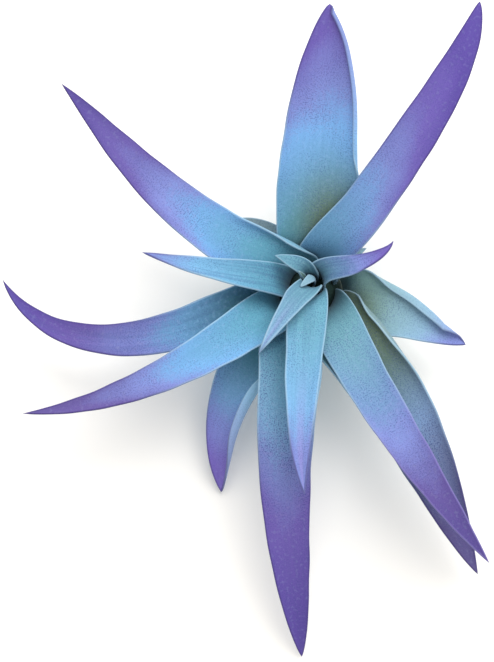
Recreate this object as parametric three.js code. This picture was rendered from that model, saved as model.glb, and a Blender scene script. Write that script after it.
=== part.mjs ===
// An air plant, Tillandsia capitata: a short stem that carries a rosette of arching, channelled leaves.
// Millimetres, +Z up. The origin is on the rosette's axis, in the flat bottom of the stem.
// Seen from above, +X is the right of the photograph and +Y its top. Clock names follow that view.
import * as THREE from 'three';

// Stem: a cone on which each leaf sheath sits in its own tier, numbered outward from the heart
const FIRST_TIER_RADIUS = 1.6;
const TIER_SPACING = 1;
const FIRST_TIER_HEIGHT = 24;
const TIER_DROP = 1.8;
const LOWEST_TIER = 11.8;
const STEM_FOOT_RADIUS = 11;
const STEM_SIDES = 28;
const SEAT_GAP = 0.3;

// The cone ends in a flat crown, and the heart's leaves stand close together on it
const CROWN_TIER = 3.8;
const CROWN_HEIGHT = FIRST_TIER_HEIGHT - TIER_DROP * CROWN_TIER;

// Leaf sections
const SHEATH_THICKNESS = 0.8;
const BLADE_THICKNESS = 1.3;
const EDGE_THICKNESS = 0.7;
const EDGE_ROUNDING = 2.5;
const TIP_HALF_WIDTH = 0.35;
const THICKENS_FROM = 15;
const THICKENS_OVER = 20;
const TIP_THINNING = 0.35;
const THINS_FROM = 0.6; // share of the leaf's length

// Where along a leaf its lean sets in
const ROLLS_FROM = 15;
const ROLLS_OVER = 40;

// Some margins are folded in: the angle a folded margin turns through, and how soon it is reached
const FOLD_TURN = 165;
const FOLD_OVER = 12;
const WIDEST_FOLD = 0.6; // share of the half width

// A high power keeps a hooked leaf's extra turn near its tip
const HOOK_POWER = 5;

// Facets: rows along a leaf lie closer together at its base
const LONG_LEAF = 30;
const LONG_LEAF_ROWS = 22;
const LONG_LEAF_COLUMNS = 8;
const SHORT_LEAF_ROWS = 14;
const SHORT_LEAF_COLUMNS = 6;
const FOLD_COLUMNS = 5;
const ROW_SPACING = 1.15;
const STEPS_PER_ROW = 16;
const SECTION_STEPS = 32;
const TANGENT_REACH = 0.01;

// Every leaf starts from these values. Lengths are in mm and angles in degrees.
const TYPICAL_LEAF = {
  rise: 10, // slope of the blade where it leaves the sheath
  droop: -10, // slope at the tip
  droopPower: 1.4, // above 1 keeps the bend for the outer half
  sweep: 0, // sideways turn from base to tip, positive to the left when looking outward
  sweepFrom: 22, // where along the leaf that turn begins
  sweepPower: 1,
  hook: 0, // extra turn in the last quarter
  sheathRise: 80, // slope of the sheath, past 90 it leans inward over the heart
  flare: 20, // length over which the upright sheath bends outward
  flarePower: 2, // above 2 makes that bend later and sharper
  neck: 0.85, // width at the base as a share of the width
  neckReach: 0.16, // how far along the leaf the neck reaches
  fullness: 1.8, // above 1 keeps the leaf wide further out
  bluntness: 0.9,
  channel: 30, // angle by which each margin is raised above the midrib
  openFrom: 5, // where along the leaf the channel begins
  openOver: 30,
  roll: 0, // lean of the whole blade, positive lifts the left margin
  curlLeft: 0, // extra curl of the outer part of each half, from curlFrom outward
  curlRight: 0,
  curlFrom: 0.55,
  uncurl: 0, // share of roll and curl that is gone at the tip
  uncurlsFrom: 0.4, // share of the length where that opening begins
  foldLeft: 0, // width of the margin that is folded in over the blade
  foldRight: 0,
  foldFrom: 6, // where along the leaf the fold begins
  foldTo: 1000, // where it has opened again, past the tip on most leaves
  wrapFrom: 10, // where the blade lets go of the ring round the stem
  wrapOver: 26,
  ring: 0, // how much wider than the stem that ring is
  clasp: 0, // share of the half width by which the sheath is turned to the left round the stem
};

const HEART_LEAF = {
  sheathRise: 90, flare: 9, flarePower: 4, fullness: 3, neck: 1.2, sweepFrom: 3, wrapFrom: 3, wrapOver: 8,
};
const YOUNG_LEAF = {
  sheathRise: 90, flare: 13, flarePower: 4, neck: 1.3, sweepFrom: 12, wrapFrom: 10, wrapOver: 12,
};

// Colours by age: the young leaves are blue-green, the old ones violet toward the tip
const HEART_COLOUR = '#7fa3b5';
const INNER_COLOUR = '#7ba9cf';
const OUTER_COLOUR = '#7a84c0';
const UNDER_COLOUR = '#5d7f88';
const STEM_COLOUR = '#6d6a50';
const LEAF_ROUGHNESS = 0.7;
const STEM_ROUGHNESS = 0.85;

const LEAVES = [
  { ...HEART_LEAF, name: 'heart_tongue', colour: HEART_COLOUR, tier: 0.1, bearing: 44, length: 18.6,
    width: 3.6, rise: 128, droop: 188, flare: 14.4, fullness: 3.5, neck: 0.9, wrapFrom: 9, wrapOver: 4,
    bluntness: 0.6, channel: 20 },
  { ...HEART_LEAF, name: 'heart_bud_left', colour: HEART_COLOUR, tier: 0.35, bearing: 150, length: 14,
    width: 2.2, rise: 76, droop: 50, flare: 10, neck: 0.65, wrapFrom: 11, wrapOver: 6, bluntness: 0.6,
    channel: 30, ring: 0.6 },
  { ...HEART_LEAF, name: 'heart_bud_low', colour: HEART_COLOUR, tier: 0.2, bearing: 300, length: 6,
    width: 2.2, rise: 84, droop: 75, neck: 0.95, channel: 40 },
  { ...YOUNG_LEAF, name: 'young_leaf_11', colour: INNER_COLOUR, tier: 1.4, bearing: 127, length: 22.3,
    width: 8.3, rise: 45, droop: -5, flare: 12.5, neck: 0.9, sweepFrom: 8, wrapFrom: 11, wrapOver: 8,
    sweep: 39, sweepPower: 0.6, fullness: 2.4, channel: 15, neckReach: 0.42, ring: 0.5, clasp: -0.45 },
  { ...YOUNG_LEAF, name: 'young_leaf_7', colour: INNER_COLOUR, tier: 2.5, bearing: 236, length: 43,
    width: 10, rise: 40, droop: -5, neck: 0.92, sweepFrom: 22, wrapFrom: 11, wrapOver: 10,
    sheathRise: 103, sweep: 3, neckReach: 0.26, channel: 30, ring: 1.6, clasp: 0.29 },
  { ...YOUNG_LEAF, name: 'young_leaf_3', colour: INNER_COLOUR, tier: 3.55, bearing: 14, length: 37.5,
    width: 10.2, rise: 34, droop: 5, neck: 1, wrapFrom: 12, sheathRise: 94, sweep: 3, hook: 48,
    channel: 25, neckReach: 0.3, ring: 0.3, clasp: 0.45 },
  { name: 'inner_leaf_9', colour: INNER_COLOUR, tier: 5.3, bearing: 178.8, length: 60.5, width: 12,
    rise: 36, droop: -10, sweep: -17, flare: 15, neck: 1.1 },
  { name: 'inner_leaf_6', colour: INNER_COLOUR, tier: 4.5, bearing: 264.4, length: 78, width: 13.6,
    rise: 18, droop: -10, sweep: 6.4, flare: 13, flarePower: 4, sheathRise: 98, wrapFrom: 12,
    wrapOver: 16, neck: 1, ring: 0.4, clasp: 0.03, sweepPower: 1.25, hook: 9.9, fullness: 2.8 },
  { name: 'long_leaf_10', colour: OUTER_COLOUR, tier: 6.25, bearing: 156.7, length: 106.2, width: 18.7,
    rise: 15, droop: 6, sweep: -34.4, sweepPower: 0.8, hook: 12.3, flare: 15.5, neck: 1.18,
    neckReach: 0.17, fullness: 2.1, channel: 20, foldRight: 3.4, wrapFrom: 14, wrapOver: 22, clasp: -0.3,
    foldTo: 42 },
  { name: 'long_leaf_1', colour: OUTER_COLOUR, tier: 7.35, bearing: 51, length: 109.8, width: 15.8,
    rise: 35, droop: 6, sweep: 12.5, sweepPower: 1.5, hook: 15.5, flare: 18, fullness: 4, neck: 1.2,
    neckReach: 0.22, clasp: 0.35, bluntness: 0.75 },
  { name: 'long_leaf_5', colour: OUTER_COLOUR, tier: 7.85, bearing: 297, length: 110, width: 16.5,
    rise: 10, droop: -14, sweep: 11.5, flare: 18, fullness: 2.4, neck: 1.2, neckReach: 0.18, channel: 24,
    wrapFrom: 13, clasp: 0.12 },
  { name: 'long_leaf_8', colour: OUTER_COLOUR, tier: 8.7, bearing: 217.7, length: 107.8, width: 19,
    rise: 12, droop: -16, sweep: -36, sweepPower: 1.3, fullness: 1.35 },
  { name: 'broad_leaf_12', colour: OUTER_COLOUR, tier: 8.15, bearing: 85.4, length: 93.2, width: 30.6,
    rise: 25, droop: 25, sweep: -0.5, fullness: 3.4, bluntness: 0.75, neck: 0.8, neckReach: 0.42,
    channel: 40, roll: -4, openFrom: 20, openOver: 34, foldRight: 1.6, foldFrom: 36, hook: 8 },
  { name: 'broad_leaf_5', colour: OUTER_COLOUR, tier: 9.6, bearing: 305.5, length: 112.5, width: 28,
    rise: 5, droop: -26, sweep: -18, hook: 12.5, fullness: 2.1, neck: 0.8, curlLeft: 30, foldLeft: 3.2,
    foldFrom: 12, foldTo: 56 },
  { name: 'long_leaf_6', colour: OUTER_COLOUR, tier: 10.4, bearing: 257.2, length: 128.3, width: 18.7,
    rise: 10, droop: -38, sweep: 26.8, sweepPower: 0.73, fullness: 3, hook: -6.4, bluntness: 0.8,
    neck: 1.25, neckReach: 0.36, clasp: -0.32 },
  { name: 'short_leaf_4', colour: OUTER_COLOUR, tier: 10.8, bearing: 342, length: 53.5, width: 25,
    rise: 8, droop: -16, sweep: -13, sweepFrom: 16, hook: 8, flare: 18, fullness: 2.2, neck: 0.78,
    channel: 40, curlLeft: 30, uncurl: 0.6, foldLeft: 3, foldFrom: 14 },
  { name: 'curved_leaf_9', colour: OUTER_COLOUR, tier: 9.4, bearing: 202.2, length: 114.4, width: 17.3,
    rise: 4, droop: -14, sweep: -90.7, sweepPower: 1.68, fullness: 1.75, neck: 0.84, hook: 7.5,
    sweepFrom: 30, neckReach: 0.13 },
  { name: 'rolled_leaf_7', colour: OUTER_COLOUR, tier: 11.4, bearing: 235, length: 74, width: 24.5,
    rise: 3, droop: -37, sweep: 37, flare: 15, fullness: 2.4, neck: 0.75, channel: 50, roll: 30,
    curlLeft: 140, curlFrom: 0.5, uncurl: 0.5, uncurlsFrom: 0.6, openOver: 14 },
  { name: 'under_leaf_10', colour: UNDER_COLOUR, tier: 9.4, bearing: 124, length: 36, width: 14, rise: 0,
    droop: -34, sweep: 56, sweepFrom: 4, flare: 10, fullness: 2 },
  { name: 'under_leaf_2', colour: UNDER_COLOUR, tier: 9, bearing: 37, length: 17.5, width: 7, rise: 4,
    droop: -10, sweepFrom: 8, flare: 8, fullness: 2.2, neck: 1, sweep: -12 },
];

// Smooth step from 0 to 1
function ease(value) {
  const t = THREE.MathUtils.clamp(value, 0, 1);
  return t * t * (3 - 2 * t);
}

// Unit vectors at distance s along the midrib: outward along it, to its left, and up from the blade
function directionsAt(leaf, s) {
  const upright = Math.exp(-((s / leaf.flare) ** leaf.flarePower));
  const bladeSlope = leaf.rise + (leaf.droop - leaf.rise) * (s / leaf.length) ** leaf.droopPower;
  const slope = THREE.MathUtils.degToRad(leaf.sheathRise * upright + bladeSlope * (1 - upright));
  const turned = THREE.MathUtils.clamp((s - leaf.sweepFrom) / (leaf.length - leaf.sweepFrom), 0, 1);
  const turn = leaf.sweep * turned ** leaf.sweepPower + leaf.hook * turned ** HOOK_POWER;
  const heading = THREE.MathUtils.degToRad(leaf.bearing + turn);
  const along = new THREE.Vector3(
    Math.cos(slope) * Math.cos(heading), Math.cos(slope) * Math.sin(heading), Math.sin(slope));
  const left = new THREE.Vector3(-Math.sin(heading), Math.cos(heading), 0);
  const up = new THREE.Vector3().crossVectors(along, left);
  return { along, left, up };
}

// Stations along the midrib, from the seat on the stem to the tip
function midribStations(leaf, rows) {
  const radius = FIRST_TIER_RADIUS + TIER_SPACING * leaf.tier;
  const bearing = THREE.MathUtils.degToRad(leaf.bearing);
  const height = Math.min(FIRST_TIER_HEIGHT - TIER_DROP * leaf.tier, CROWN_HEIGHT + SEAT_GAP);
  const point = new THREE.Vector3(radius * Math.cos(bearing), radius * Math.sin(bearing), height);
  const stations = [];
  for (let row = 0; row <= rows; row += 1) {
    const s = leaf.length * (row / rows) ** ROW_SPACING;
    const step = (leaf.length * ((row + 1) / rows) ** ROW_SPACING - s) / STEPS_PER_ROW;
    stations.push({ s, share: s / leaf.length, point: point.clone(), ...directionsAt(leaf, s) });
    for (let k = 0; k < STEPS_PER_ROW; k += 1) {
      point.addScaledVector(directionsAt(leaf, s + step * (k + 0.5)).along, step);
    }
  }
  return stations;
}

function halfWidth(leaf, share) {
  const neck = 1 - (1 - leaf.neck) * Math.exp(-((share / leaf.neckReach) ** 2));
  const taper = Math.max(1 - share ** leaf.fullness, 0) ** leaf.bluntness;
  return Math.max((leaf.width / 2) * neck * taper, TIP_HALF_WIDTH);
}

// Share of the half width that is folded in on one side, where 1 is the left and -1 the right
function foldShare(leaf, share, side) {
  const fold = side > 0 ? leaf.foldLeft : leaf.foldRight;
  return Math.min(fold / halfWidth(leaf, share), WIDEST_FOLD);
}

// Cross-section of the open blade: sideways and upward distance from the midrib to across (-1 to 1)
function bladeSection(leaf, station, across) {
  const opened = ease((station.s - leaf.openFrom) / leaf.openOver);
  const kept = 1 - leaf.uncurl * ease((station.share - leaf.uncurlsFrom) / (1 - leaf.uncurlsFrom));
  const channel = THREE.MathUtils.degToRad(leaf.channel) * opened;
  const leaned = ease((station.s - ROLLS_FROM) / ROLLS_OVER) * kept;
  const roll = THREE.MathUtils.degToRad(leaf.roll) * leaned;
  const side = across < 0 ? -1 : 1;
  const curlAngle = side > 0 ? leaf.curlLeft : leaf.curlRight;
  const curl = THREE.MathUtils.degToRad(curlAngle) * opened * kept;
  const reach = Math.abs(across) / SECTION_STEPS;
  const step = halfWidth(leaf, station.share) * reach;
  let sideways = 0;
  let upward = 0;
  for (let k = 0; k < SECTION_STEPS; k += 1) {
    const outward = (k + 0.5) * reach;
    const curled = THREE.MathUtils.clamp((outward - leaf.curlFrom) / (1 - leaf.curlFrom), 0, 1);
    const tilt = roll + side * (channel * outward + curl * curled);
    sideways += side * step * Math.cos(tilt);
    upward += side * step * Math.sin(tilt);
  }
  return { sideways, upward };
}

// A point of the unfolded leaf: part of a ring round the stem at the base, blade further out
function sheetPoint(leaf, station, across) {
  const radius = Math.hypot(station.point.x, station.point.y);
  const outward = new THREE.Vector3(station.point.x / radius, station.point.y / radius, 0);
  const ringRadius = radius + leaf.ring;
  const ringAngle = (halfWidth(leaf, station.share) * (across + leaf.clasp)) / ringRadius;
  const free = ease((station.s - leaf.wrapFrom) / leaf.wrapOver);
  const section = bladeSection(leaf, station, across);
  const sideways = (1 - free) * ringRadius * Math.sin(ringAngle) + free * section.sideways;
  return station.point.clone()
    .addScaledVector(station.left, sideways)
    .addScaledVector(outward, -(1 - free) * ringRadius * (1 - Math.cos(ringAngle)))
    .addScaledVector(station.up, free * section.upward);
}

// A point of the leaf's middle surface: beyond the fold line the margin turns in over the blade
function leafPoint(leaf, station, across) {
  const point = sheetPoint(leaf, station, across);
  const side = across < 0 ? -1 : 1;
  const folded = foldShare(leaf, station.share, side);
  const foldLine = 1 - folded;
  const beyond = Math.abs(across) - foldLine;
  if (folded === 0 || beyond <= 0) {
    return point;
  }
  const outward = sheetPoint(leaf, station, side * foldLine)
    .sub(sheetPoint(leaf, station, side * (foldLine - TANGENT_REACH)))
    .normalize();
  const inward = new THREE.Vector3().crossVectors(station.along, outward).multiplyScalar(side);
  const width = folded * halfWidth(leaf, station.share);
  const fullWidth = side > 0 ? leaf.foldLeft : leaf.foldRight;
  const opened = ease((station.s - leaf.foldFrom) / (leaf.foldTo - leaf.foldFrom));
  const grown = ease((station.s - leaf.foldFrom) / FOLD_OVER) * (1 - opened) * (width / fullWidth);
  const turn = THREE.MathUtils.degToRad(FOLD_TURN) * grown;
  const reach = beyond / folded / SECTION_STEPS;
  for (let k = 0; k < SECTION_STEPS; k += 1) {
    const tilt = turn * (1 - (1 - (k + 0.5) * reach) ** 2);
    point.addScaledVector(outward, width * reach * (Math.cos(tilt) - 1));
    point.addScaledVector(inward, width * reach * Math.sin(tilt));
  }
  return point;
}

// Places across the leaf, from the right margin to the left, with more of them in a folded margin
function acrossPlaces(leaf, share, columns) {
  const right = foldShare(leaf, share, -1);
  const left = foldShare(leaf, share, 1);
  const places = [];
  if (right > 0) {
    for (let k = 0; k < FOLD_COLUMNS; k += 1) {
      places.push(-1 + (right * k) / FOLD_COLUMNS);
    }
  }
  for (let k = 0; k <= columns; k += 1) {
    places.push(right - 1 + ((2 - right - left) * k) / columns);
  }
  if (left > 0) {
    for (let k = 1; k <= FOLD_COLUMNS; k += 1) {
      places.push(1 - left + (left * k) / FOLD_COLUMNS);
    }
  }
  return places;
}

function thicknessAt(station, across) {
  const thickened = ease((station.s - THICKENS_FROM) / THICKENS_OVER);
  const thinned = 1 - TIP_THINNING * ease((station.share - THINS_FROM) / (1 - THINS_FROM));
  const middle = (SHEATH_THICKNESS + (BLADE_THICKNESS - SHEATH_THICKNESS) * thickened) * thinned;
  return EDGE_THICKNESS + (middle - EDGE_THICKNESS) * (1 - Math.abs(across) ** EDGE_ROUNDING);
}

// Surface normal of a grid of points, from its neighbours
function gridNormal(grid, row, column) {
  const lastRow = grid.length - 1;
  const lastColumn = grid[0].length - 1;
  const alongRows = grid[Math.min(row + 1, lastRow)][column].clone()
    .sub(grid[Math.max(row - 1, 0)][column]);
  const alongColumns = grid[row][Math.min(column + 1, lastColumn)].clone()
    .sub(grid[row][Math.max(column - 1, 0)]);
  return alongRows.cross(alongColumns).normalize();
}

// Triangles of a closed sheet: both faces are split alike, and the four edges are walled
function sheetTriangles(rows, columns) {
  const bottom = (rows + 1) * (columns + 1);
  const at = (row, column) => row * (columns + 1) + column;
  const triangles = [];
  const wall = (from, to) => {
    triangles.push(from, from + bottom, to + bottom, from, to + bottom, to);
  };
  for (let row = 0; row < rows; row += 1) {
    for (let column = 0; column < columns; column += 1) {
      const corners = [at(row, column), at(row + 1, column), at(row + 1, column + 1), at(row, column + 1)];
      const [a, b, c, d] = corners;
      triangles.push(a, b, c, a, c, d);
      triangles.push(a + bottom, c + bottom, b + bottom, a + bottom, d + bottom, c + bottom);
    }
    wall(at(row, 0), at(row + 1, 0));
    wall(at(row + 1, columns), at(row, columns));
  }
  for (let column = 0; column < columns; column += 1) {
    wall(at(0, column + 1), at(0, column));
    wall(at(rows, column), at(rows, column + 1));
  }
  return triangles;
}

function leafGeometry(leaf) {
  const isLong = leaf.length > LONG_LEAF;
  const stations = midribStations(leaf, isLong ? LONG_LEAF_ROWS : SHORT_LEAF_ROWS);
  const columns = isLong ? LONG_LEAF_COLUMNS : SHORT_LEAF_COLUMNS;
  const places = stations.map((station) => acrossPlaces(leaf, station.share, columns));
  const grid = stations.map((station, row) => (
    places[row].map((across) => leafPoint(leaf, station, across))));
  const top = [];
  const bottom = [];
  grid.forEach((line, row) => line.forEach((point, column) => {
    const offset = gridNormal(grid, row, column)
      .multiplyScalar(thicknessAt(stations[row], places[row][column]) / 2);
    top.push(...point.clone().add(offset).toArray());
    bottom.push(...point.clone().sub(offset).toArray());
  }));
  const geometry = new THREE.BufferGeometry();
  geometry.setAttribute('position', new THREE.Float32BufferAttribute([...top, ...bottom], 3));
  geometry.setIndex(sheetTriangles(grid.length - 1, grid[0].length - 1));
  geometry.computeVertexNormals();
  return geometry;
}

// The stem's cone runs just inside the lower edge of every sheath, from the flat foot to the crown
function stemGeometry() {
  const inset = SHEATH_THICKNESS / 2 + SEAT_GAP;
  const coneAt = (tier) => new THREE.Vector2(
    FIRST_TIER_RADIUS + TIER_SPACING * tier - inset, FIRST_TIER_HEIGHT - TIER_DROP * tier);
  const profile = [
    new THREE.Vector2(0, 0),
    new THREE.Vector2(STEM_FOOT_RADIUS, 0),
    coneAt(LOWEST_TIER),
    coneAt((LOWEST_TIER + CROWN_TIER) / 2),
    coneAt(CROWN_TIER),
    new THREE.Vector2(0, CROWN_HEIGHT),
  ];
  const geometry = new THREE.LatheGeometry(profile, STEM_SIDES);
  geometry.rotateX(Math.PI / 2);
  return geometry;
}

function plantMesh(name, geometry, colour, roughness) {
  const material = new THREE.MeshStandardMaterial({ color: colour, roughness, metalness: 0 });
  const mesh = new THREE.Mesh(geometry, material);
  mesh.name = name;
  return mesh;
}

const plant = new THREE.Group();
plant.add(plantMesh('stem', stemGeometry(), STEM_COLOUR, STEM_ROUGHNESS));
for (const row of LEAVES) {
  const leaf = { ...TYPICAL_LEAF, ...row };
  plant.add(plantMesh(leaf.name, leafGeometry(leaf), leaf.colour, LEAF_ROUGHNESS));
}

export default plant;
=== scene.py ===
# An air plant, Tillandsia capitata, lying on a white table and seen from above.
# Every leaf lies where its CAD solid lies, and here it gets the fine surface and the felt of the real one.
import math
import random

import bpy
import numpy as np
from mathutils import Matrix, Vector


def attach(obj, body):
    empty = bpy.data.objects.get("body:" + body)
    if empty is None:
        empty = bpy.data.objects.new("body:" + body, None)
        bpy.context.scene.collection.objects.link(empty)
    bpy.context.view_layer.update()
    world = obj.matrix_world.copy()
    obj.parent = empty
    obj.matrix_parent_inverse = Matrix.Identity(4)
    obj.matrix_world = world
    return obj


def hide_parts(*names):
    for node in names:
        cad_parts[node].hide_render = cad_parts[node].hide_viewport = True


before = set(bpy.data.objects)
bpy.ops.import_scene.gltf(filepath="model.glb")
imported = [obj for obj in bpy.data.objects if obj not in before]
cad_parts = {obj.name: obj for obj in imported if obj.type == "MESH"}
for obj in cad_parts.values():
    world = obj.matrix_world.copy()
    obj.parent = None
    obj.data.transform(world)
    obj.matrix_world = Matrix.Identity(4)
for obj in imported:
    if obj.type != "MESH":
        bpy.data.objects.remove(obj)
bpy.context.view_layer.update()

mm = 0.001  # all sizes below are in millimetres
plantSeed = 41
noiseLow, noiseHigh = 0.3, 0.7  # nearly all the values of a noise texture lie between these
print("frame loaded:", len(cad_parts), "nodes")


def linear(hexColour):
    parts = [int(hexColour[i:i + 2], 16) / 255 for i in (1, 3, 5)]
    curved = [c / 12.92 if c <= 0.04045 else ((c + 0.055) / 1.055) ** 2.4 for c in parts]
    return (*curved, 1.0)


def ease(value):
    t = np.clip(value, 0, 1)
    return t * t * (3 - 2 * t)


def addObject(name, data):
    added = bpy.data.objects.new(name, data)
    bpy.context.scene.collection.objects.link(added)
    return added


# Camera: the photograph looks down at 80 degrees, a little from the front
photoView = {
    "elevation": 80,
    "distance": 520,
    "target": (-20.8, -18.9, 38),
    "pixel": 0.32,  # one photo pixel at the target, in mm
    "imageHeight": 662,  # pixels
    "sensorHeight": 36,
    "nearest": 10,
}


def placeCamera(view):
    camera = bpy.data.cameras.new("photoCamera")
    holder = addObject("photoCamera", camera)
    tilt = math.radians(view["elevation"])
    backward = Vector((0, -math.cos(tilt), math.sin(tilt)))
    holder.location = (Vector(view["target"]) + backward * view["distance"]) * mm
    holder.rotation_euler = (math.radians(90) - tilt, 0, 0)
    camera.sensor_fit = "VERTICAL"
    camera.sensor_height = view["sensorHeight"]
    camera.lens = view["sensorHeight"] * view["distance"] / (view["imageHeight"] * view["pixel"])
    camera.clip_start = view["nearest"] * mm
    bpy.context.scene.camera = holder


placeCamera(photoView)
print("camera placed")

# The stem's tiers, numbered outward from the heart, as the CAD stem has them
stemTiers = {
    "firstRadius": 1.6,
    "spacing": 1.0,
    "firstHeight": 24.0,
    "drop": 1.8,
    "lowest": 11.8,
    "crown": 3.8,  # the cone ends here in a flat top
    "footRadius": 11.0,
    "sheathGap": 0.3,
}

# How every leaf is made up
leafBuild = {
    "sheathThickness": 0.8,
    "bladeThickness": 1.3,
    "edgeThickness": 0.7,
    "edgeRounding": 2.5,
    "thickensFrom": 15,
    "thickensOver": 20,
    "tipThinning": 0.35,
    "thinsFrom": 0.6,
    "rollsFrom": 15,
    "rollsOver": 40,
    "foldTurn": 165,  # degrees
    "foldOver": 12,
    "widestFold": 0.6,  # share of the half width, and so is the next
    "widestRounding": 0.45,
    "hookPower": 5,
    "tipHalfWidth": 0.05,
    "tipFullness": 0.9,  # a tip is at most this share of its width thick, and 0.08 mm more
    "tipLeast": 0.04,
    "midribSteps": 2000,
    "rowsPerMillimetre": 1.5,
    "fewestRows": 56,
    "rowSpacing": 1.15,  # rows lie closer together at the base
    "columns": 34,
    "foldColumns": 12,
    "marginSteps": 4,  # rows of points round each margin
    "sectionSteps": 48,
    "foldProbe": 0.01,  # step back from a fold line to find which way it faces
    "patternShift": 13.7,  # gives each leaf another part of the felt's patterns
    "faceApart": 40,  # sets the felt of the under face apart from that of the upper one
    "waver": 0.16,  # how far a margin strays from its drawn line
    "waverLength": 17,
    "raisedRatio": 1.4,  # it rises and falls in longer waves than it goes in and out
    "waverWaves": 4,
    "waverReach": 3,  # power of the fall from the margin to the midrib
    "steadyTip": 0.2,  # share of the length over which the waver dies away
}

plainLeaf = {
    "droopPower": 1.4, "sweep": 0, "sweepFrom": 22, "sweepPower": 1, "hook": 0, "sheathRise": 80,
    "flare": 20, "flarePower": 2, "neck": 0.85, "neckReach": 0.16, "fullness": 1.8, "bluntness": 0.9,
    "channel": 30, "openFrom": 5, "openOver": 30, "roll": 0, "curlLeft": 0, "curlRight": 0,
    "curlFrom": 0.55, "uncurl": 0, "uncurlsFrom": 0.4, "foldLeft": 0, "foldRight": 0, "foldFrom": 6,
    "foldTo": 1000, "wrapFrom": 10, "wrapOver": 26, "ring": 0, "clasp": 0,
}
heartLeaf = {
    **plainLeaf, "sheathRise": 90, "flare": 9, "flarePower": 4, "fullness": 3, "sweepFrom": 3,
    "wrapFrom": 3, "wrapOver": 8,
}
youngLeaf = {
    **plainLeaf, "sheathRise": 90, "flare": 13, "flarePower": 4, "sweepFrom": 12, "wrapOver": 12,
}

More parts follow.
